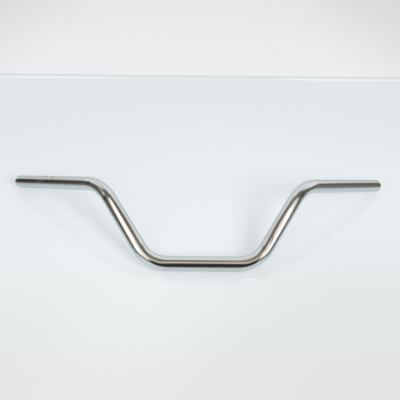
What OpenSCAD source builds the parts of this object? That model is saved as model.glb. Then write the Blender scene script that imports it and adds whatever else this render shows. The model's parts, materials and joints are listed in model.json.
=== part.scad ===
// Moped handlebar: one steel tube, bent cold in four places and chromed, with plain open ends.
// It lies as it comes to rest on a flat surface, on the clamp span and on the rims of both ends.
//
// Origin: the middle of the clamp span, on the tube's axis.
// +X runs along the clamp span to the right-hand end, +Z is up, and the arms sweep towards +Y.
//
// Each half is laid out as a tube bender reads it: a straight length, a bend, a turn of the tube
// about its own axis, the next straight length, and so on out to the open end.

/* [Tube] */
// Outside diameter of the tube
tube_od = 22; // [19:0.1:26]
// Wall thickness of the tube
wall = 2; // [1:0.1:3]
// Chamfer on the outer edge of each open end
rim_chamfer = 0.4; // [0.1:0.1:0.8]
// Chamfer on the inner edge of each open end
bore_chamfer = 0.3; // [0.1:0.1:0.8]

/* [Straight lengths] */
// Straight span in the middle, where the stem clamps the bar
clamp_span = 100; // [70:1:140]
// Straight length of each rise
rise_span = 95; // [60:1:150]
// Straight length of each arm, which carries a grip and a lever
arm_span = 190; // [140:1:240]

/* [Bends] */
// Angle of the inner bends, between the clamp span and each rise
inner_bend = 58; // [40:1:75]
// Radius of the inner bends, to the tube's axis
inner_bend_r = 53; // [40:1:80]
// Angle of the outer bends, between each rise and its arm
outer_bend = 48; // [30:1:65]
// Radius of the outer bends, to the tube's axis
outer_bend_r = 65; // [45:1:90]
// How far the outer bends' planes are turned out of the plane of the rises
back_turn = 47; // [20:1:70]

/* [Hidden] */

// Sides of a round section
round_fn = 40;
// Steps round a whole circle of a bend
bend_fn = 90;
// Colour of the chrome
chrome = [0.78, 0.79, 0.80];

tube_r = tube_od / 2;
bore_r = tube_r - wall;
// The wall thins a little on both faces where the tube is bent
draw_down = 0.01;
// Depth by which each end of a bend sits inside the straight length that it meets
lap = 0.3;

// Distance from a bend's ends to the corner where the two straight axes would meet
function corner_reach(bend, radius) = radius * tan(bend / 2);
inner_reach = corner_reach(inner_bend, inner_bend_r);
outer_reach = corner_reach(outer_bend, outer_bend_r);

// The right half's axis with the rises in the XY plane and the arms below it
rise_dir = [cos(inner_bend), sin(inner_bend), 0];
turn_dir = cos(back_turn) * [sin(inner_bend), -cos(inner_bend), 0] - sin(back_turn) * [0, 0, 1];
arm_dir = cos(outer_bend) * rise_dir + sin(outer_bend) * turn_dir;
inner_corner = [clamp_span / 2 - lap + inner_reach, 0, 0];
outer_corner = inner_corner + (inner_reach + rise_span - 2 * lap + outer_reach) * rise_dir;
// The section that touches the surface is where the outer chamfer starts
touch_centre = outer_corner + (outer_reach - lap + arm_span - rim_chamfer) * arm_dir;

// The bar leans up from flat by this angle, so that its ends are as low as its clamp span
lean_of_axis = atan2(-touch_centre.z, touch_centre.y);
arm_slope = asin(arm_dir.y * sin(lean_of_axis) + arm_dir.z * cos(lean_of_axis));
end_drop = tube_r * (1 - cos(arm_slope));
lean = lean_of_axis - asin(end_drop / norm([touch_centre.y, touch_centre.z]));

// A straight length of tube along +X
module straight(length) {
    rotate([0, 90, 0]) linear_extrude(length) difference() {
        circle(r = tube_r, $fn = round_fn);
        circle(r = bore_r, $fn = round_fn);
    }
}

// A bent length of tube that starts along +X and curves towards +Y
module curved(bend, bend_r) {
    translate([0, bend_r, 0]) rotate([0, 0, -90])
        rotate_extrude(angle = bend, $fn = bend_fn) translate([bend_r, 0]) difference() {
            circle(r = tube_r - draw_down, $fn = round_fn);
            circle(r = bore_r + draw_down, $fn = round_fn);
        }
}

// Places its children at the end of a bend, in line with the tube there
module after_bend(bend, bend_r) {
    translate([0, bend_r, 0]) rotate([0, 0, bend]) translate([-lap, -bend_r, 0]) children();
}

// An arm along +X, with the edges of its open end broken
module arm() {
    rotate([0, 90, 0]) rotate_extrude($fn = round_fn) polygon([
        [bore_r, 0],
        [tube_r, 0],
        [tube_r, arm_span - rim_chamfer],
        [tube_r - rim_chamfer, arm_span],
        [bore_r + bore_chamfer, arm_span],
        [bore_r, arm_span - bore_chamfer]
    ]);
}

// The right half, from the end of the clamp span out
module half_bar() {
    translate([clamp_span / 2 - lap, 0, 0]) {
        curved(inner_bend, inner_bend_r);
        after_bend(inner_bend, inner_bend_r) {
            straight(rise_span);
            translate([rise_span - lap, 0, 0]) rotate([180 + back_turn, 0, 0]) {
                curved(outer_bend, outer_bend_r);
                after_bend(outer_bend, outer_bend_r) arm();
            }
        }
    }
}

module handlebar_tube() {
    color(chrome) rotate([lean, 0, 0]) {
        translate([-clamp_span / 2, 0, 0]) straight(clamp_span);
        half_bar();
        mirror([1, 0, 0]) half_bar();
    }
}

handlebar_tube();
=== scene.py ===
"""Looks of a moped handlebar: the chromed tube itself, and the pale table and studio that it is seen in."""

import json
from math import atan2, cos, pi, radians, sin, tan

import bpy
from bpy.props import FloatProperty, FloatVectorProperty, IntProperty, PointerProperty
from mathutils import Matrix, Vector


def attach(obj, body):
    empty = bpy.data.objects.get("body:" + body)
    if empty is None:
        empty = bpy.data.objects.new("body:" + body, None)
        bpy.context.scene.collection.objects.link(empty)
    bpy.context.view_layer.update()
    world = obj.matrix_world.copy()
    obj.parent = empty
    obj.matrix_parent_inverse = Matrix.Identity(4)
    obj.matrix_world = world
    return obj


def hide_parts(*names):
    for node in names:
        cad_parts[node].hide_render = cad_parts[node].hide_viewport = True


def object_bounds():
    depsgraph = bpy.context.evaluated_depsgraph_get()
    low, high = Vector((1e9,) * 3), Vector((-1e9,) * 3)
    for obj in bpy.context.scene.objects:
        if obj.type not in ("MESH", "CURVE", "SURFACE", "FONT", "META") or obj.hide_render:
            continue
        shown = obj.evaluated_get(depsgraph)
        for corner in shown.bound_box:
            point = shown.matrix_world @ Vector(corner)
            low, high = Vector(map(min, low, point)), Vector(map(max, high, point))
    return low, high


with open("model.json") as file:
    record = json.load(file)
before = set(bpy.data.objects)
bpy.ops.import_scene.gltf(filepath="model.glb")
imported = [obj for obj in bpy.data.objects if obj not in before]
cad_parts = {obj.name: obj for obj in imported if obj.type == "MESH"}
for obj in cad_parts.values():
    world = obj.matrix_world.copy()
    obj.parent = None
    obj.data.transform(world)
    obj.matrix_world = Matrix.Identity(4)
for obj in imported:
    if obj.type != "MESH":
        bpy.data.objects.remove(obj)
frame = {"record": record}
CAD_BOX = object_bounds()

bl_info = {
    "name": "Moped Handlebar",
    "version": (1, 0, 0),
    "blender": (4, 5, 0),
    "location": "View3D > Sidebar > Handlebar",
    "description": "Builds a bent, chromed handlebar tube and the pale studio it is seen in",
    "category": "Add Mesh",
}

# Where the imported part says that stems, grips and plugs go
MOUNTS = {mount["name"]: mount for mount in frame["record"]["mounts"]}
CLAMP = MOUNTS["stem_clamp"]
GRIP = MOUNTS["right_grip_seat"]
END_BORE = MOUNTS["right_end_bore"]
ARM_AXIS = Vector(GRIP["axis"])

MM = 0.001
WHITE = (1.0, 1.0, 1.0)


# Sizes and colours

class BarSizes(bpy.types.PropertyGroup):
    """Sizes of the bent tube, in the order that a tube bender would read them."""

    tube_radius: FloatProperty(
        name="Tube radius", description="Outside radius of the tube",
        default=CLAMP["dims"]["r_mm"] * MM, unit="LENGTH", subtype="DISTANCE")
    bore_radius: FloatProperty(
        name="Bore radius", description="Inside radius of the tube",
        default=END_BORE["dims"]["r_mm"] * MM, unit="LENGTH", subtype="DISTANCE")
    clamp_span: FloatProperty(
        name="Clamp span", description="Straight length between the inner bends",
        default=CLAMP["dims"]["length_mm"] * MM, unit="LENGTH", subtype="DISTANCE")
    rise_span: FloatProperty(
        name="Rise span", description="Straight length of each rise",
        default=0.095, unit="LENGTH", subtype="DISTANCE")
    arm_span: FloatProperty(
        name="Arm span", description="Straight length of each arm, out to its open end",
        default=0.190, unit="LENGTH", subtype="DISTANCE")
    inner_bend: FloatProperty(
        name="Inner bend", description="Angle between the clamp span and a rise",
        default=radians(58), unit="ROTATION", subtype="ANGLE")
    inner_bend_radius: FloatProperty(
        name="Inner bend radius", description="Radius of the inner bends, to the tube's axis",
        default=0.053, unit="LENGTH", subtype="DISTANCE")
    outer_bend: FloatProperty(
        name="Outer bend", description="Angle between a rise and its arm",
        default=radians(48), unit="ROTATION", subtype="ANGLE")
    outer_bend_radius: FloatProperty(
        name="Outer bend radius", description="Radius of the outer bends, to the tube's axis",
        default=0.065, unit="LENGTH", subtype="DISTANCE")
    back_turn: FloatProperty(
        name="Back turn", description="Turn of each arm's bend out of the plane of the rises",
        default=radians(47), unit="ROTATION", subtype="ANGLE")
    bend_lap: FloatProperty(
        name="Bend lap", description="Depth by which each bend starts inside a straight length",
        default=0.0003, unit="LENGTH", subtype="DISTANCE")
    flattening: FloatProperty(
        name="Flattening", description="Share of the radius that the tube loses across a bend",
        default=0.042, subtype="FACTOR", min=0.0, max=0.08)
    lip_round: FloatProperty(
        name="Lip round", description="Radius of the broken edges of the open ends",
        default=0.0004, unit="LENGTH", subtype="DISTANCE")
    segments: IntProperty(
        name="Segments", description="Faces round the tube", default=96, min=24, max=192)


class BarFinish(bpy.types.PropertyGroup):
    """Colours and roughness of the chrome and of the bare bore."""

    chrome: FloatVectorProperty(
        name="Chrome", description="Colour of the polished chrome plate",
        default=(0.735, 0.752, 0.758), size=3, subtype="COLOR", min=0.0, max=1.0)
    chrome_roughness: FloatProperty(
        name="Chrome roughness", description="Roughness of clean chrome",
        default=0.045, subtype="FACTOR", min=0.0, max=1.0)
    chrome_rim: FloatVectorProperty(
        name="Chrome rim", description="Tint of the chrome where it is seen at a grazing angle",
        default=(0.84, 0.865, 0.88), size=3, subtype="COLOR", min=0.0, max=1.0)
    stain_and_painted_dark: FloatVectorProperty(
        name="Stain", description="Colour of the dull marks in the plate and of its painted dark reflections",
        default=(0.13, 0.12, 0.11), size=3, subtype="COLOR", min=0.0, max=1.0)
    steel: FloatVectorProperty(
        name="Bare steel", description="Colour of the unplated steel inside the tube",
        default=(0.30, 0.28, 0.26), size=3, subtype="COLOR", min=0.0, max=1.0)
    rust: FloatVectorProperty(
        name="Rust", description="Colour of the light rust inside the tube",
        default=(0.19, 0.085, 0.038), size=3, subtype="COLOR", min=0.0, max=1.0)


class StudioLook(bpy.types.PropertyGroup):
    """Sizes and colours of the stage: the camera, the table and the light."""

    camera_place: FloatVectorProperty(
        name="Camera place", description="Where the camera stands",
        default=(-0.0258, -0.5233, 0.4507), size=3, unit="LENGTH", subtype="TRANSLATION")
    camera_heading: FloatProperty(
        name="Camera heading", description="Turn of the view from straight along +Y towards +X",
        default=radians(2.035), unit="ROTATION", subtype="ANGLE")
    camera_dip: FloatProperty(
        name="Camera dip", description="Angle by which the camera looks down",
        default=radians(32.973), unit="ROTATION", subtype="ANGLE")
    camera_roll: FloatProperty(
        name="Camera roll", description="Turn of the camera about its line of sight",
        default=radians(-1.77), unit="ROTATION", subtype="ANGLE")
    camera_lens: FloatProperty(
        name="Lens", description="Focal length in millimetres for a sensor 36 mm wide",
        default=42.23, min=10.0, max=200.0)
    back_paper: FloatVectorProperty(
        name="Back paper", description="Colour of the paper behind the pane of glass",
        default=(0.797, 0.804, 0.818), size=3, subtype="COLOR", min=0.0, max=1.0)
    paper: FloatVectorProperty(
        name="Paper", description="Colour of the paper under the pane of glass",
        default=(0.748, 0.776, 0.790), size=3, subtype="COLOR", min=0.0, max=1.0)
    paper_front_shade: FloatVectorProperty(
        name="Paper front", description="Painted shade and tint of the paper at its front, as a share of its back",
        default=(0.945, 0.895, 0.865), size=3, subtype="COLOR", min=0.0, max=1.0)
    paper_glow: FloatProperty(
        name="Paper glow", description="Share of the paper's brightness that is its own painted glow",
        default=0.62, subtype="FACTOR", min=0.0, max=1.0)
    slant_tint: FloatVectorProperty(
        name="Slant tint", description="Tint of the glowing paper as the chrome sees it",
        default=(0.80, 0.92, 0.93), size=3, subtype="COLOR", min=0.0, max=1.0)
    side_shade_share: FloatProperty(
        name="Back paper sides",
        description="Brightness of the back paper's sides, as a share of its middle",
        default=0.90, subtype="FACTOR", min=0.0, max=1.0)
    edge_shade: FloatProperty(
        name="Edge shade",
        description="Brightness of the paper just behind the pane, as a share of the rest",
        default=0.88, subtype="FACTOR", min=0.0, max=1.0)
    glass: FloatVectorProperty(
        name="Glass", description="Tint of the pane of glass on the paper",
        default=(0.985, 0.995, 0.995), size=3, subtype="COLOR", min=0.0, max=1.0)
    glass_depth: FloatProperty(
        name="Glass depth", description="How deep the paper seems to lie under the glass",
        default=0.0035, unit="LENGTH", subtype="DISTANCE")
    glass_back: FloatProperty(
        name="Glass back", description="How far behind the clamp span the pane ends",
        default=0.882, unit="LENGTH", subtype="DISTANCE")
    glass_slant: FloatProperty(
        name="Glass slant", description="Turn of the pane's back edge from the bar's long axis",
        default=radians(1.67), unit="ROTATION", subtype="ANGLE")
    table_width: FloatProperty(
        name="Table width", description="Length of each side of the table top",
        default=12.0, unit="LENGTH", subtype="DISTANCE")
    backdrop: FloatVectorProperty(
        name="Backdrop", description="Colour of the paper behind the table",
        default=(0.83, 0.87, 0.89), size=3, subtype="COLOR", min=0.0, max=1.0)
    sky_fill: FloatProperty(
        name="Fill", description="Brightness of the even light from all round",
        default=0.91, min=0.0, max=2.0)
    lamp_power: FloatProperty(
        name="Lamp power", description="Power of the right lamp, in watts",
        default=10.0, min=0.0, max=100.0)


# The shape of the tube

class Ring:
    """A cross-section of the tube: its centre, the way along, the way down and its reach, which is how
    far along the tube it is from the middle. In a bend it also has the way to the bend's inner side and
    how fully it is bent, from 0 to 1."""

    def __init__(self, centre, along, down, reach, bend_side=None, bend_share=0.0):
        self.centre = centre
        self.along = along
        self.down = down
        self.reach = reach
        self.bend_side = bend_side
        self.bend_share = bend_share

    def mirrored(self):
        """The same ring on the left half of the tube."""
        flip = Vector((-1.0, 1.0, 1.0))
        side = None if self.bend_side is None else self.bend_side * flip
        return Ring(self.centre * flip, -(self.along * flip), self.down * flip, -self.reach,
                    side, self.bend_share)


class Bender:
    """Walks along the tube's axis and leaves a ring at each step."""

    STRAIGHT_STEP = 0.012
    BEND_STEP = radians(1.25)

    def __init__(self, place, along, down):
        self.place = place
        self.along = along
        self.down = down
        self.reach = 0.0
        self.rings = [Ring(place.copy(), along.copy(), down.copy(), 0.0)]

    def straight(self, length):
        steps = max(1, round(length / self.STRAIGHT_STEP))
        for _ in range(steps):
            self.place = self.place + self.along * (length / steps)
            self.reach += length / steps
            self.rings.append(Ring(self.place.copy(), self.along.copy(), self.down.copy(), self.reach))

    def bend(self, angle, radius, side):
        """Curves towards side, which is square to the way along."""
        steps = max(1, round(angle / self.BEND_STEP))
        hinge = self.place + side * radius
        turn = Matrix.Rotation(angle / steps, 3, self.along.cross(side))
        for step in range(1, steps + 1):
            self.place = hinge + turn @ (self.place - hinge)
            self.along = turn @ self.along
            self.down = turn @ self.down
            side = turn @ side
            self.reach += radius * angle / steps
            share = sin(pi * step / steps) ** 2
            self.rings.append(Ring(self.place.copy(), self.along.copy(), self.down.copy(), self.reach,
                                   side.copy(), share))
        return side


def half_rings(sizes):
    """Rings of the right half, from the middle of the clamp span to the open end."""
    lap = sizes.bend_lap
    walk = Bender(Vector((0.0, 0.0, 0.0)), Vector((1.0, 0.0, 0.0)), Vector((0.0, 0.0, -1.0)))
    walk.straight(sizes.clamp_span / 2 - lap)
    side = walk.bend(sizes.inner_bend, sizes.inner_bend_radius, Vector((0.0, 1.0, 0.0)))
    walk.straight(sizes.rise_span - 2 * lap)
    turned = Matrix.Rotation(sizes.back_turn, 3, walk.along) @ -side
    walk.bend(sizes.outer_bend, sizes.outer_bend_radius, turned)
    walk.straight(sizes.arm_span - lap)
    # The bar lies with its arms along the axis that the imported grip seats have
    arm = walk.along
    lean = atan2(ARM_AXIS.z, ARM_AXIS.y) - atan2(arm.z, arm.y)
    tip = Matrix.Rotation(lean, 3, "X")
    for ring in walk.rings:
        ring.centre = tip @ ring.centre
        ring.along = tip @ ring.along
        ring.down = tip @ ring.down
        if ring.bend_side is not None:
            ring.bend_side = tip @ ring.bend_side
    return walk.rings


def wall_points(ring, radius, shift, flattening, segments):
    """Points round one ring; a bent ring is a little narrower across its bend."""
    across = ring.along.cross(ring.down)
    centre = ring.centre + ring.along * shift
    points = []
    for number in range(segments):
        angle = 2 * pi * number / segments
        way = ring.down * cos(angle) + across * sin(angle)
        pull = 0.0
        if ring.bend_side is not None:
            pull = flattening * ring.bend_share * way.dot(ring.bend_side) ** 2
        points.append(centre + way * radius * (1 - pull))
    return points


LIP_STEPS = 4


def lip_profile(sizes):
    """Radius and shift of the rings that close the wall at an open end, from outside to inside."""
    round_by = sizes.lip_round
    profile = []
    for step in range(1, LIP_STEPS + 1):
        angle = pi / 2 * step / LIP_STEPS
        profile.append((sizes.tube_radius - round_by * (1 - cos(angle)), -round_by * (1 - sin(angle))))
    for step in range(LIP_STEPS):
        angle = pi / 2 * step / LIP_STEPS
        profile.append((sizes.bore_radius + round_by * (1 - sin(angle)), -round_by * (1 - cos(angle))))
    return profile


def tube_mesh(name, sizes):
    """The whole tube as one closed skin, with its run along and round kept as a UV map."""
    right = half_rings(sizes)
    left = [ring.mirrored() for ring in reversed(right[1:])]
    axis = left + right
    count = sizes.segments
    short = sizes.lip_round
    last = len(axis) - 1
    rows = []

    def add_row(ring, radius, shift, inside):
        points = wall_points(ring, radius, shift, sizes.flattening, count)
        rows.append((points, ring.reach + shift, inside))

    def in_bore(radius, shift):
        """Whether a ring of the lip has turned far enough inwards to be bare steel."""
        return shift < -short * 0.5 and radius < sizes.tube_radius - short

    for place, ring in enumerate(axis):
        shift = short if place == 0 else (-short if place == last else 0.0)
        add_row(ring, sizes.tube_radius, shift, False)
    for radius, shift in lip_profile(sizes):
        add_row(axis[-1], radius, shift, in_bore(radius, shift))
    for place, ring in enumerate(reversed(axis)):
        shift = -short if place == 0 else (short if place == last else 0.0)
        add_row(ring, sizes.bore_radius, shift, True)
    for radius, shift in reversed(lip_profile(sizes)):
        add_row(axis[0], radius, -shift, in_bore(radius, shift))

    vertices = [point for points, _, _ in rows for point in points]
    faces, slots, uvs = [], [], []
    for number, (_, reach, inside) in enumerate(rows):
        after = (number + 1) % len(rows)
        _, next_reach, next_inside = rows[after]
        for step in range(count):
            beside = (step + 1) % count
            faces.append((number * count + step, number * count + beside,
                          after * count + beside, after * count + step))
            slots.append(1 if inside or next_inside else 0)
            uvs += [(step / count, reach), ((step + 1) / count, reach),
                    ((step + 1) / count, next_reach), (step / count, next_reach)]
    mesh = bpy.data.meshes.new(name)
    mesh.from_pydata(vertices, [], faces)
    mesh.polygons.foreach_set("material_index", slots)
    mesh.polygons.foreach_set("use_smooth", [True] * len(faces))
    layer = mesh.uv_layers.new(name="tube_run")
    layer.data.foreach_set("uv", [value for uv in uvs for value in uv])
    mesh.update()
    return mesh


# Materials

class Nodes:
    """Short words for building a node tree."""

    def __init__(self, tree):
        self.tree = tree
        tree.nodes.clear()

    def add(self, kind, **settings):
        node = self.tree.nodes.new(kind)
        for key, value in settings.items():
            setattr(node, key, value)
        return node

    def put(self, socket, value):
        """Links a socket to another, or sets its value."""
        if isinstance(value, bpy.types.NodeSocket):
            self.tree.links.new(value, socket)
        else:
            socket.default_value = value

    def math(self, operation, *values):
        node = self.add("ShaderNodeMath", operation=operation)
        for socket, value in zip(node.inputs, values):
            self.put(socket, value)
        return node.outputs[0]

    def ramp(self, value, low, high, to_low=0.0, to_high=1.0):
        """Goes softly from to_low to to_high while value goes from low to high."""
        node = self.add("ShaderNodeMapRange", interpolation_type="SMOOTHSTEP")
        for socket, given in zip(node.inputs, (value, low, high, to_low, to_high)):
            self.put(socket, given)
        return node.outputs[0]

    def line(self, value, low, high, to_low, to_high):
        """Goes evenly from to_low to to_high, and on past both, while value goes from low to high."""
        node = self.add("ShaderNodeMapRange", clamp=False)
        for socket, given in zip(node.inputs, (value, low, high, to_low, to_high)):
            self.put(socket, given)
        return node.outputs[0]

    def mix(self, share, first, second):
        node = self.add("ShaderNodeMix", data_type="RGBA")
        self.put(node.inputs[0], share)
        self.put(node.inputs[6], first)
        self.put(node.inputs[7], second)
        return node.outputs[2]

    def noise(self, vector, scale, detail=2.0, roughness=0.5):
        node = self.add("ShaderNodeTexNoise")
        self.put(node.inputs["Vector"], vector)
        node.inputs["Scale"].default_value = scale
        node.inputs["Detail"].default_value = detail
        node.inputs["Roughness"].default_value = roughness
        return node.outputs[0]

    def bump(self, height, strength, distance, normal=None):
        node = self.add("ShaderNodeBump")
        node.inputs["Strength"].default_value = strength
        node.inputs["Distance"].default_value = distance
        self.put(node.inputs["Height"], height)
        if normal is not None:
            self.put(node.inputs["Normal"], normal)
        return node.outputs[0]


def four(colour):
    """A colour with the fourth number that a colour socket wants."""
    return (*colour, 1.0)


# Marks in the plate, and two painted dark reflections: how far along the tube from its middle and how far
# round it each one lies, how far its round place shifts for each metre along, its half length and half
# width in metres, and how much of the plate it covers. A blot is dark; a rub is only duller than the plate
# round it.
PLATE_BLOTS_AND_PAINTED_REFLECTIONS = [
    ("scuff", -0.3365, 0.483, 0.0, 0.0026, 0.0042, 0.45),
    ("scuff_tail", -0.3590, 0.462, 0.0, 0.0090, 0.0022, 0.22),
    ("faint_scratch", -0.4078, 0.480, 0.0, 0.0018, 0.0050, 0.20),
    ("bend_blot", -0.2411, 0.590, 0.0, 0.0040, 0.0032, 0.70),
    # Painted dark reflection: a dark line across the left outer bend where its reflection is dark, not a
    # mark in the plate
    ("bend_painted_dark_reflection", -0.1962, 0.560, 0.0, 0.0042, 0.0075, 0.78),
    ("bend_lines", -0.2035, 0.497, -3.5, 0.0085, 0.0026, 0.42),
    ("rise_streak", 0.1150, 0.519, -2.2, 0.0095, 0.0011, 0.60),
    # Painted dark reflection: a dark hook at the right outer bend where the reflection's dark field ends,
    # not a mark in the plate
    ("right_bend_painted_dark_reflection", 0.2078, 0.590, 0.0, 0.0035, 0.0032, 0.50),
    ("right_end_line", 0.4366, 0.560, 0.0, 0.0026, 0.0250, 0.42),
]
PLATE_RUBS = [
    ("grip_edge_rub", -0.3650, 0.560, 0.0, 0.0130, 0.0110, 0.22),
    ("left_bend_rub", -0.2150, 0.505, 0.0, 0.0100, 0.0060, 0.25),
]
# The ragged edge of a mark, and the squared shares of its size between which it fades
RAGGED_SCALE = 420.0
RAGGED_BY = 0.5
MARK_FADE = (0.25, 1.25)


def plate_marks(tree, marks, round_metres):
    """How far a place in the plate is marked, from 0 to 1; round_metres is the way round the tube."""
    split = tree.add("ShaderNodeSeparateXYZ")
    tree.put(split.inputs[0], tree.add("ShaderNodeUVMap", uv_map="tube_run").outputs[0])
    turned, along = split.outputs[0], split.outputs[1]
    place = tree.add("ShaderNodeTexCoord").outputs["Object"]
    ragged = tree.line(tree.noise(place, RAGGED_SCALE), 0.0, 1.0, -RAGGED_BY, RAGGED_BY)
    marked = None
    for _, middle, turn, slant, half_length, half_width, cover in marks:
        far = tree.line(along, middle, middle + half_length, 0.0, 1.0)
        centre = tree.line(along, middle, middle + 1.0, turn, turn + slant)
        aside = tree.math("DIVIDE", tree.math("SUBTRACT", turned, centre), half_width / round_metres)
        squares = tree.math("ADD", tree.math("MULTIPLY", far, far), tree.math("MULTIPLY", aside, aside))
        here = tree.ramp(tree.math("ADD", squares, ragged), *MARK_FADE, cover, 0.0)
        marked = here if marked is None else tree.math("MAXIMUM", marked, here)
    return marked


# The plate's haze, dull specks, slow waves and fine polishing lines: noise scales, ranges and strengths
HAZE_SCALE, HAZE_DETAIL, HAZE_ROUGHNESS = 38.0, 3.0, 0.55
HAZE_RANGE = (0.35, 0.75)
HAZE_DULLS_BY = 0.05
SPECK_SCALE = 210.0
SPECK_FADE = (0.16, 0.05)
SPECK_CHOICE_SCALE = 90.0
SPECK_CHOICE = (0.66, 0.74)
SPECK_COVER = 0.7
BLOT_DULLS_BY = 0.12
RUB_DULLS_BY = 0.5
WAVE_SCALE, WAVE_STRENGTH, WAVE_DEPTH = 55.0, 0.12, 0.0004
LINE_SCALE, LINE_STRENGTH, LINE_DEPTH = 900.0, 0.02, 0.0001


def bright_chrome(finish, sizes):
    """Polished chrome with a soft haze, fine polishing lines, a few dull specks, dark marks, two painted
    dark reflections and rubbed marks.
    """
    material = bpy.data.materials.new("bright_chrome")
    material.use_nodes = True
    tree = Nodes(material.node_tree)
    place = tree.add("ShaderNodeTexCoord").outputs["Object"]
    shader = tree.add("ShaderNodeBsdfPrincipled")
    shader.inputs["Metallic"].default_value = 1.0

    haze = tree.noise(place, HAZE_SCALE, HAZE_DETAIL, HAZE_ROUGHNESS)
    speck_cells = tree.add("ShaderNodeTexVoronoi")
    tree.put(speck_cells.inputs["Vector"], place)
    speck_cells.inputs["Scale"].default_value = SPECK_SCALE
    near = tree.ramp(speck_cells.outputs["Distance"], *SPECK_FADE)
    chosen = tree.ramp(tree.noise(place, SPECK_CHOICE_SCALE, 1.0), *SPECK_CHOICE)
    specks = tree.math("MULTIPLY", tree.math("MULTIPLY", near, chosen), SPECK_COVER)

    round_metres = 2 * pi * sizes.tube_radius
    blots_and_painted_reflections = tree.math("MAXIMUM", specks, plate_marks(tree, PLATE_BLOTS_AND_PAINTED_REFLECTIONS, round_metres))
    rubs = plate_marks(tree, PLATE_RUBS, round_metres)
    # Dark marks, specks and the two painted dark reflections darken the plate's colour
    tree.put(shader.inputs["Base Color"], tree.mix(blots_and_painted_reflections, four(finish.chrome), four(finish.stain_and_painted_dark)))
    clean = finish.chrome_roughness
    rough = tree.ramp(haze, *HAZE_RANGE, clean, clean + HAZE_DULLS_BY)
    duller = tree.math("ADD", tree.math("MULTIPLY", blots_and_painted_reflections, BLOT_DULLS_BY),
                       tree.math("MULTIPLY", rubs, RUB_DULLS_BY))
    tree.put(shader.inputs["Roughness"], tree.math("ADD", rough, duller))
    shader.inputs["Specular Tint"].default_value = four(finish.chrome_rim)

    waves = tree.bump(tree.noise(place, WAVE_SCALE, 1.0), WAVE_STRENGTH, WAVE_DEPTH)
    lines = tree.bump(tree.noise(place, LINE_SCALE), LINE_STRENGTH, LINE_DEPTH, waves)
    tree.put(shader.inputs["Normal"], lines)
    tree.put(tree.add("ShaderNodeOutputMaterial").inputs["Surface"], shader.outputs[0])
    return material


# The bore: scale and cover of its rust, gloss and roughness of steel and of rust, and its grain
RUST_SCALE, RUST_DETAIL, RUST_ROUGHNESS = 120.0, 5.0, 0.62
RUST_COVER = (0.46, 0.62)
STEEL_METALLIC = 0.9
STEEL_ROUGH, RUST_ROUGH = 0.42, 0.85
GRAIN_SCALE, GRAIN_DETAIL, GRAIN_STRENGTH, GRAIN_DEPTH = 700.0, 4.0, 0.35, 0.0003


def bore_steel(finish):
    """Bare drawn steel with light rust."""
    material = bpy.data.materials.new("bore_steel")
    material.use_nodes = True
    tree = Nodes(material.node_tree)
    place = tree.add("ShaderNodeTexCoord").outputs["Object"]
    shader = tree.add("ShaderNodeBsdfPrincipled")
    patches = tree.ramp(tree.noise(place, RUST_SCALE, RUST_DETAIL, RUST_ROUGHNESS), *RUST_COVER)
    tree.put(shader.inputs["Base Color"], tree.mix(patches, four(finish.steel), four(finish.rust)))
    tree.put(shader.inputs["Metallic"], tree.ramp(patches, 0.0, 1.0, STEEL_METALLIC, 0.0))
    tree.put(shader.inputs["Roughness"], tree.ramp(patches, 0.0, 1.0, STEEL_ROUGH, RUST_ROUGH))
    grain = tree.noise(place, GRAIN_SCALE, GRAIN_DETAIL)
    tree.put(shader.inputs["Normal"], tree.bump(grain, GRAIN_STRENGTH, GRAIN_DEPTH))
    tree.put(tree.add("ShaderNodeOutputMaterial").inputs["Surface"], shader.outputs[0])
    return material


# Painted shade and painted glints on the paper: middle, half width and half depth in metres, and how much
# brighter each is
PAINTED_PAPER_SPOTS = [
    ("right_front_shade", 0.300, -0.240, 0.420, 0.380, -0.120),
    ("left_front_shade", -0.300, -0.220, 0.250, 0.260, -0.050),
    ("left_glint", -0.0663, -0.0171, 0.0140, 0.0055, 0.055),
    ("right_glint", 0.0667, -0.0180, 0.0110, 0.0062, 0.085),
]
# A spot fades between these squared shares of its size
SPOT_FADE = (0.0, 1.3)
# The back paper gets a painted shade, darker from the first to the second of these distances from the
# middle line
SIDE_SHADE = (0.40, 1.00)
# Between these depths the paper goes from its painted front shade and tint to its own colour
FRONT_SHADE_FADE = (-0.35, 0.10)
# Distances behind the pane's back edge where the shade and the shine of that edge start and end, and
# the distances from the middle line between which the shine comes in
SHADE_NEAR, SHADE_FAR = (-0.004, 0.0), (0.026, 0.010)
SHINE_NEAR, SHINE_FAR = (-0.030, -0.018), (0.0, -0.006)
SHINE_SIDES = (0.15, 0.35)
# The paper's faint unevenness
CLOUD_SCALE = 3.0
CLOUD_RANGE = (0.3, 0.7)
CLOUD_GAIN = 1.01
PAPER_ROUGHNESS = 0.9


def scaled(tree, colour, share):
    """A colour made darker or brighter."""
    node = tree.add("ShaderNodeVectorMath", operation="SCALE")
    tree.put(node.inputs[0], colour)
    tree.put(node.inputs["Scale"], share)
    return node.outputs[0]


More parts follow.
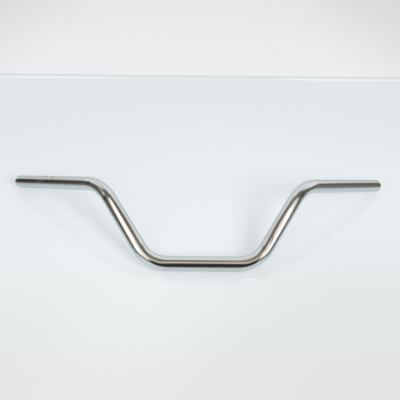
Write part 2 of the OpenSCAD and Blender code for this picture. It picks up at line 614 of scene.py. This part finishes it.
def paper_finish(name, colour, look, spots=(), front=WHITE, side_shade_share=1.0):
    """Matt pale paper that gives off part of its own brightness as a painted glow, so that contact shadows
    are faint.
    """
    material = bpy.data.materials.new(name)
    material.use_nodes = True
    tree = Nodes(material.node_tree)
    place = tree.add("ShaderNodeTexCoord").outputs["Object"]
    shader = tree.add("ShaderNodeBsdfPrincipled")
    split = tree.add("ShaderNodeSeparateXYZ")
    tree.put(split.inputs[0], place)
    side, depth = split.outputs[0], split.outputs[1]

    level = tree.ramp(tree.noise(place, CLOUD_SCALE), *CLOUD_RANGE, 1.0, CLOUD_GAIN)
    # Each spot is a painted shade or a painted glint
    for _, middle_x, middle_y, half_x, half_y, gain in spots:
        far = tree.line(side, middle_x, middle_x + half_x, 0.0, 1.0)
        deep = tree.line(depth, middle_y, middle_y + half_y, 0.0, 1.0)
        squares = tree.math("ADD", tree.math("MULTIPLY", far, far), tree.math("MULTIPLY", deep, deep))
        level = tree.math("MULTIPLY", level, tree.ramp(squares, *SPOT_FADE, 1.0 + gain, 1.0))
    # Painted shade towards the back paper's sides
    away = tree.math("ABSOLUTE", side)
    level = tree.math("MULTIPLY", level, tree.ramp(away, *SIDE_SHADE, 1.0, side_shade_share))
    # A thin shade of the pane's cut edge is painted on the paper behind it, and a thin shine before it
    edge = tree.math("MULTIPLY_ADD", side, tan(look.glass_slant), look.glass_back)
    behind = tree.math("SUBTRACT", depth, edge)
    shaded = tree.math("MULTIPLY", tree.ramp(behind, *SHADE_NEAR), tree.ramp(behind, *SHADE_FAR))
    level = tree.math("MULTIPLY", level, tree.ramp(shaded, 0.0, 1.0, 1.0, look.edge_shade))
    shine = tree.math("MULTIPLY", tree.ramp(behind, *SHINE_NEAR), tree.ramp(behind, *SHINE_FAR))
    shine = tree.math("MULTIPLY", shine, tree.ramp(away, *SHINE_SIDES))
    level = tree.math("MULTIPLY", level, tree.ramp(shine, 0.0, 1.0, 1.0, 2.0 - look.edge_shade))

    # The paper's front is painted darker and warmer, a painted shade
    front_shaded_colour = tuple(value * share for value, share in zip(colour, front))
    tint = tree.mix(tree.ramp(depth, *FRONT_SHADE_FADE), four(front_shaded_colour), four(colour))
    lit = scaled(tree, tint, tree.math("MULTIPLY", level, 1.0 - look.paper_glow))
    # This share of the paper's brightness is a painted glow that the paper gives off itself, though it is
    # no lamp
    glow = scaled(tree, tint, tree.math("MULTIPLY", level, look.paper_glow))
    tree.put(shader.inputs["Base Color"], lit)
    # The chrome sees the paper through the pane at a slant, so the painted glow is tinted a little greener
    # where the chrome mirrors it
    chrome_sees = tree.add("ShaderNodeLightPath").outputs["Is Glossy Ray"]
    slanted = tree.add("ShaderNodeVectorMath", operation="MULTIPLY")
    tree.put(slanted.inputs[0], glow)
    tree.put(slanted.inputs[1], tree.mix(chrome_sees, four(WHITE), four(look.slant_tint)))
    tree.put(shader.inputs["Emission Color"], slanted.outputs[0])
    shader.inputs["Emission Strength"].default_value = look.sky_fill
    shader.inputs["Roughness"].default_value = PAPER_ROUGHNESS
    shader.inputs["Specular IOR Level"].default_value = 0.0
    tree.put(tree.add("ShaderNodeOutputMaterial").inputs["Surface"], shader.outputs[0])
    return material


# The pane's two faces and the gloss of the paper under it together mirror more than one face does, up
# to a limit. For the camera the limit is lower, so that the table stays pale from every side.
GLASS_DOUBLING = 2.6
GLASS_MOST = 0.9
GLASS_MOST_SEEN = 0.12
GLASS_ROUGHNESS = 0.04
GLASS_IOR = 1.5


def glass_finish(look):
    """Clear, faintly green glass that mirrors more at a grazing angle."""
    material = bpy.data.materials.new("glass_pane")
    material.use_nodes = True
    tree = Nodes(material.node_tree)
    clear = tree.add("ShaderNodeBsdfTransparent")
    clear.inputs["Color"].default_value = four(look.glass)
    mirror = tree.add("ShaderNodeBsdfGlossy")
    mirror.inputs["Roughness"].default_value = GLASS_ROUGHNESS
    fresnel = tree.add("ShaderNodeFresnel")
    fresnel.inputs["IOR"].default_value = GLASS_IOR
    # The pane mirrors for the chrome and for the camera; the light of the lamps and the fill passes
    rays = tree.add("ShaderNodeLightPath")
    doubled = tree.math("MULTIPLY", fresnel.outputs[0], GLASS_DOUBLING)
    doubled = tree.math("MINIMUM", doubled, GLASS_MOST)
    plain = tree.math("MINIMUM", fresnel.outputs[0], GLASS_MOST_SEEN)
    share = tree.math("ADD", tree.math("MULTIPLY", doubled, rays.outputs["Is Glossy Ray"]),
                      tree.math("MULTIPLY", plain, rays.outputs["Is Camera Ray"]))
    blend = tree.add("ShaderNodeMixShader")
    tree.put(blend.inputs[0], share)
    tree.put(blend.inputs[1], clear.outputs[0])
    tree.put(blend.inputs[2], mirror.outputs[0])
    tree.put(tree.add("ShaderNodeOutputMaterial").inputs["Surface"], blend.outputs[0])
    return material


# The studio as the chrome sees it. A patch is a soft four-sided field: the left side, the right side and
# the height of its foot, the same three of its head, the softness of its edges, all in degrees, and its
# colour. Sides are compass headings from +Y towards +X. Later patches stand before earlier ones.
STUDIO_BASE = (0.215, 0.195, 0.160)
STUDIO_PATCHES = [
    ("back_wall", (-61, 50, -90), (-40, 49, 87), 4, (0.820, 0.855, 0.850)),
    ("back_wall_foot", (-60, 60, -8), (-54, 56, 33), 6, (0.745, 0.785, 0.785)),
    ("back_wall_left", (-60, -30, -8), (-60, -30, 24), 6, (0.675, 0.695, 0.700)),
    ("back_wall_right", (28, 50, -8), (28, 50, 20), 6, (0.705, 0.725, 0.710)),
    ("back_wall_glow", (14, 38, 34), (12, 40, 60), 6, (0.900, 0.940, 0.900)),
    ("back_wall_head", (-54, 60, 71), (-54, 60, 90), 7, (0.755, 0.740, 0.680)),
    ("right_wall", (42, 88, 14), (42, 78, 61), 4, (0.925, 0.925, 0.910)),
    ("left_wall", (-70, -42, 19), (-92, -42, 69), 4, (0.835, 0.835, 0.820)),
    ("left_corner_foot", (-47, -44, 47), (-50, -43, 61), 3, (0.215, 0.200, 0.172)),
    ("left_corner_head", (-53, -42, 62), (-72, -26, 84), 4, (0.162, 0.144, 0.120)),
    ("right_corner", (46, 50, 48), (45, 57, 65), 3, (0.270, 0.250, 0.230)),
    ("right_corner_head", (46, 100, 66), (38, 112, 88), 4, (0.176, 0.156, 0.132)),
    ("zenith", (-180, 90, 85), (-180, 90, 100), 3, (0.196, 0.172, 0.140)),
    ("left_shade", (-112, -82, -30), (-112, -86, 48), 4, (0.165, 0.143, 0.124)),
    ("left_shade_foot", (-101, -88, -20), (-101, -88, 20), 4, (0.090, 0.088, 0.078)),
    ("left_pale_field", (-104, -97, 18), (-104, -94, 42), 3, (0.300, 0.272, 0.225)),
    ("right_shade", (89, 104, -30), (85, 106, 54), 4, (0.150, 0.141, 0.114)),
    ("left_cabinet_rim", (-92, -66, 9), (-90, -61, 20), 4, (0.165, 0.122, 0.085)),
    ("left_cabinet", (-93, -56, -30), (-89, -67, 12), 5, (0.034, 0.032, 0.029)),
    ("left_skirting", (-112, -88, -30), (-112, -88, 0), 3, (0.420, 0.435, 0.425)),
    ("right_cabinet", (58, 99, -30), (58, 97, 17), 6, (0.148, 0.129, 0.107)),
    ("right_skirting", (74, 118, -30), (76, 118, 1), 6, (0.330, 0.348, 0.322)),
    ("beige_ceiling", (136, 213, 27), (136, 213, 70), 5, (0.560, 0.500, 0.405)),
    ("beige_streak", (158, 190, 48), (164, 190, 62), 4, (0.850, 0.735, 0.640)),
    ("right_olive_beam", (141, 157, 60), (124, 172, 90), 4, (0.192, 0.170, 0.112)),
    ("left_olive_beam", (194, 210, 58), (186, 220, 74), 4, (0.223, 0.196, 0.143)),
    ("left_sill", (-142, -111, -30), (-142, -111, 14), 4, (0.363, 0.374, 0.385)),
    ("left_window", (-147, -110, 15), (-143, -119, 81), 3, (1.400, 1.340, 1.240)),
    ("left_curtain", (-149, -135, 15), (-144, -126, 81), 5, (1.110, 1.000, 0.920)),
    ("left_pillar", (-109, -105, 8), (-111, -108, 33), 2, (0.050, 0.050, 0.044)),
    ("left_lit_edge", (-105, -101, 25), (-108, -102, 46), 3, (0.820, 0.830, 0.680)),
    ("right_sill", (103, 136, -30), (103, 136, 14), 4, (0.310, 0.320, 0.330)),
    ("right_window", (105, 136, 17), (117, 137, 84), 3, (1.370, 1.330, 1.290)),
    ("right_window_blind", (121, 133, 42), (119, 139, 84), 3, (0.950, 0.840, 0.750)),
    ("dark_front", (136, 224, -20), (140, 211, 24), 5, (0.012, 0.011, 0.014)),
    ("dark_front_top", (152, 202, 18), (172, 183, 47), 5, (0.065, 0.055, 0.048)),
]


def studio_field(tree, heading, height, foot, head, soft):
    """How far inside a patch a direction lies, from 0 to 1."""
    (foot_left, foot_right, low), (head_left, head_right, high) = foot, head
    middle = (foot_left + foot_right + head_left + head_right) / 4
    turn = tree.math("WRAP", tree.math("SUBTRACT", heading, middle), 180.0, -180.0)
    turn = tree.math("ADD", turn, middle)
    left = tree.line(height, low, high, foot_left, head_left)
    right = tree.line(height, low, high, foot_right, head_right)
    after_left = tree.ramp(tree.math("SUBTRACT", turn, left), -soft, soft)
    before_right = tree.ramp(tree.math("SUBTRACT", right, turn), -soft, soft)
    above = tree.ramp(height, low - soft, low + soft)
    below = tree.ramp(height, high - soft, high + soft, 1.0, 0.0)
    return tree.math("MULTIPLY", tree.math("MULTIPLY", after_left, before_right),
                     tree.math("MULTIPLY", above, below))


FILL_COLOUR = (0.99, 0.995, 1.0)


def studio_world(look):
    """Pale for the camera and for matt surfaces; metal and glass see the studio's soft patches."""
    world = bpy.data.worlds.new("studio")
    bpy.context.scene.world = world
    world.use_nodes = True
    tree = Nodes(world.node_tree)
    split = tree.add("ShaderNodeSeparateXYZ")
    tree.put(split.inputs[0], tree.add("ShaderNodeTexCoord").outputs["Generated"])
    x, y, z = split.outputs
    heading = tree.math("MULTIPLY", tree.math("ARCTAN2", x, y), 180 / pi)
    height = tree.math("MULTIPLY", tree.math("ARCSINE", z), 180 / pi)
    colour = four(STUDIO_BASE)
    for _, foot, head, soft, tint in STUDIO_PATCHES:
        colour = tree.mix(studio_field(tree, heading, height, foot, head, soft), colour, four(tint))

    rays = tree.add("ShaderNodeLightPath")
    fill = tree.add("ShaderNodeBackground")
    fill.inputs["Color"].default_value = four(FILL_COLOUR)
    fill.inputs["Strength"].default_value = look.sky_fill
    seen = tree.add("ShaderNodeBackground")
    tree.put(seen.inputs["Color"], colour)
    paper = tree.add("ShaderNodeBackground")
    paper.inputs["Color"].default_value = four(look.backdrop)
    clear = tree.math("MAXIMUM", rays.outputs["Is Glossy Ray"], rays.outputs["Is Transmission Ray"])
    # Light that the chrome throws on the paper is the even fill again, so no dark ring lies round the bar
    mirrored = tree.math("MULTIPLY", clear, tree.math("LESS_THAN", rays.outputs["Diffuse Depth"], 0.5))
    first = tree.add("ShaderNodeMixShader")
    tree.put(first.inputs[0], mirrored)
    tree.put(first.inputs[1], fill.outputs[0])
    tree.put(first.inputs[2], seen.outputs[0])
    second = tree.add("ShaderNodeMixShader")
    tree.put(second.inputs[0], rays.outputs["Is Camera Ray"])
    tree.put(second.inputs[1], first.outputs[0])
    tree.put(second.inputs[2], paper.outputs[0])
    tree.put(tree.add("ShaderNodeOutputWorld").inputs["Surface"], second.outputs[0])


# Stage

# The lamps, from which the bar's soft shadows fall on the paper, stand here and look at LAMP_AIM
LEFT_LAMP_PLACE = (-0.245, -0.518, 0.439)
RIGHT_LAMP_PLACE = (0.485, -0.709, 0.590)
LAMP_AIM = (0.0, 0.1, 0.0)
LAMP_WIDTH = 0.42
LEFT_LAMP_SHARE = 0.30
SENSOR_WIDTH_MM = 36.0
NEAREST_SEEN = 0.01


def add_lamp(name, place, power):
    """A soft lamp whose light doesn't fade with distance, and that the chrome doesn't mirror."""
    place = Vector(place)
    data = bpy.data.lights.new(name, "AREA")
    data.shape = "DISK"
    data.size = LAMP_WIDTH
    data.energy = power
    data.use_nodes = True
    tree = Nodes(data.node_tree)
    even = tree.add("ShaderNodeLightFalloff")
    even.inputs["Strength"].default_value = 1.0
    glow = tree.add("ShaderNodeEmission")
    tree.put(glow.inputs["Strength"], even.outputs["Constant"])
    tree.put(tree.add("ShaderNodeOutputLight").inputs["Surface"], glow.outputs[0])
    lamp = bpy.data.objects.new(name, data)
    bpy.context.scene.collection.objects.link(lamp)
    lamp.location = place
    lamp.rotation_euler = (place - Vector(LAMP_AIM)).to_track_quat("Z", "Y").to_euler()
    lamp.visible_glossy = False
    lamp.visible_camera = False


def add_sheet(name, corners, material):
    """A flat four-sided sheet of the stage."""
    mesh = bpy.data.meshes.new(name)
    mesh.from_pydata(corners, [], [(0, 1, 2, 3)])
    mesh.materials.append(material)
    sheet = bpy.data.objects.new(name, mesh)
    bpy.context.scene.collection.objects.link(sheet)


def add_table(look):
    """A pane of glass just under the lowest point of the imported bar, on pale paper."""
    half = look.table_width / 2
    top = CAD_BOX[0][2]
    under = top - look.glass_depth
    back = look.glass_back
    slant = half * tan(look.glass_slant)
    left_back, right_back = back - slant, back + slant
    behind = paper_finish("back_paper", look.back_paper, look, side_shade_share=look.side_shade_share)
    below = paper_finish("paper", look.paper, look, spots=PAINTED_PAPER_SPOTS, front=look.paper_front_shade)
    add_sheet("back_paper", [(-half, left_back, under), (half, right_back, under), (half, half, under),
                             (-half, half, under)], behind)
    add_sheet("paper", [(-half, -half, under), (half, -half, under), (half, right_back, under),
                        (-half, left_back, under)], below)
    add_sheet("glass_pane", [(-half, -half, top), (half, -half, top), (half, right_back, top),
                             (-half, left_back, top)], glass_finish(look))


def add_camera(look):
    """The camera that the bar is seen from in the photo."""
    data = bpy.data.cameras.new("photo_camera")
    data.sensor_width = SENSOR_WIDTH_MM
    data.lens = look.camera_lens
    data.clip_start = NEAREST_SEEN
    camera = bpy.data.objects.new("photo_camera", data)
    bpy.context.scene.collection.objects.link(camera)
    turn = (Matrix.Rotation(-look.camera_heading, 4, "Z")
            @ Matrix.Rotation(pi / 2 - look.camera_dip, 4, "X")
            @ Matrix.Rotation(-look.camera_roll, 4, "Z"))
    camera.matrix_world = Matrix.Translation(look.camera_place) @ turn
    bpy.context.scene.camera = camera


# Operators

class HANDLEBAR_OT_set_stage(bpy.types.Operator):
    """Set up the camera, the pale table and the studio light"""

    bl_idname = "handlebar.set_stage"
    bl_label = "Set the Stage"

    def execute(self, context):
        look = context.scene.handlebar_studio
        add_camera(look)
        add_table(look)
        studio_world(look)
        add_lamp("left_lamp", LEFT_LAMP_PLACE, look.lamp_power * LEFT_LAMP_SHARE)
        add_lamp("right_lamp", RIGHT_LAMP_PLACE, look.lamp_power)
        context.scene.view_settings.view_transform = "Standard"
        return {"FINISHED"}


class HANDLEBAR_OT_add_tube(bpy.types.Operator):
    """Build the bent, chromed tube in place of the plain packed one"""

    bl_idname = "handlebar.add_tube"
    bl_label = "Add the Bent Tube"

    def execute(self, context):
        scene = context.scene
        mesh = tube_mesh("bent_tube", scene.handlebar_sizes)
        mesh.materials.append(bright_chrome(scene.handlebar_finish, scene.handlebar_sizes))
        mesh.materials.append(bore_steel(scene.handlebar_finish))
        tube = bpy.data.objects.new("bent_tube", mesh)
        scene.collection.objects.link(tube)
        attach(tube, "root")
        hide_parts("handlebar_tube")
        return {"FINISHED"}


class HANDLEBAR_PT_sidebar(bpy.types.Panel):
    """Lists the steps that build the handlebar"""

    bl_idname = "HANDLEBAR_PT_sidebar"
    bl_label = "Moped Handlebar"
    bl_space_type = "VIEW_3D"
    bl_region_type = "UI"
    bl_category = "Handlebar"

    def draw(self, context):
        layout = self.layout
        for operator in (HANDLEBAR_OT_set_stage, HANDLEBAR_OT_add_tube):
            layout.operator(operator.bl_idname)


CLASSES = (BarSizes, BarFinish, StudioLook, HANDLEBAR_OT_set_stage, HANDLEBAR_OT_add_tube,
           HANDLEBAR_PT_sidebar)


def register():
    for one in CLASSES:
        bpy.utils.register_class(one)
    bpy.types.Scene.handlebar_sizes = PointerProperty(type=BarSizes)
    bpy.types.Scene.handlebar_finish = PointerProperty(type=BarFinish)
    bpy.types.Scene.handlebar_studio = PointerProperty(type=StudioLook)


def unregister():
    del bpy.types.Scene.handlebar_studio
    del bpy.types.Scene.handlebar_finish
    del bpy.types.Scene.handlebar_sizes
    for one in reversed(CLASSES):
        bpy.utils.unregister_class(one)


def main():
    register()
    bpy.ops.handlebar.set_stage()
    bpy.ops.handlebar.add_tube()


if __name__ == "__main__":
    main()
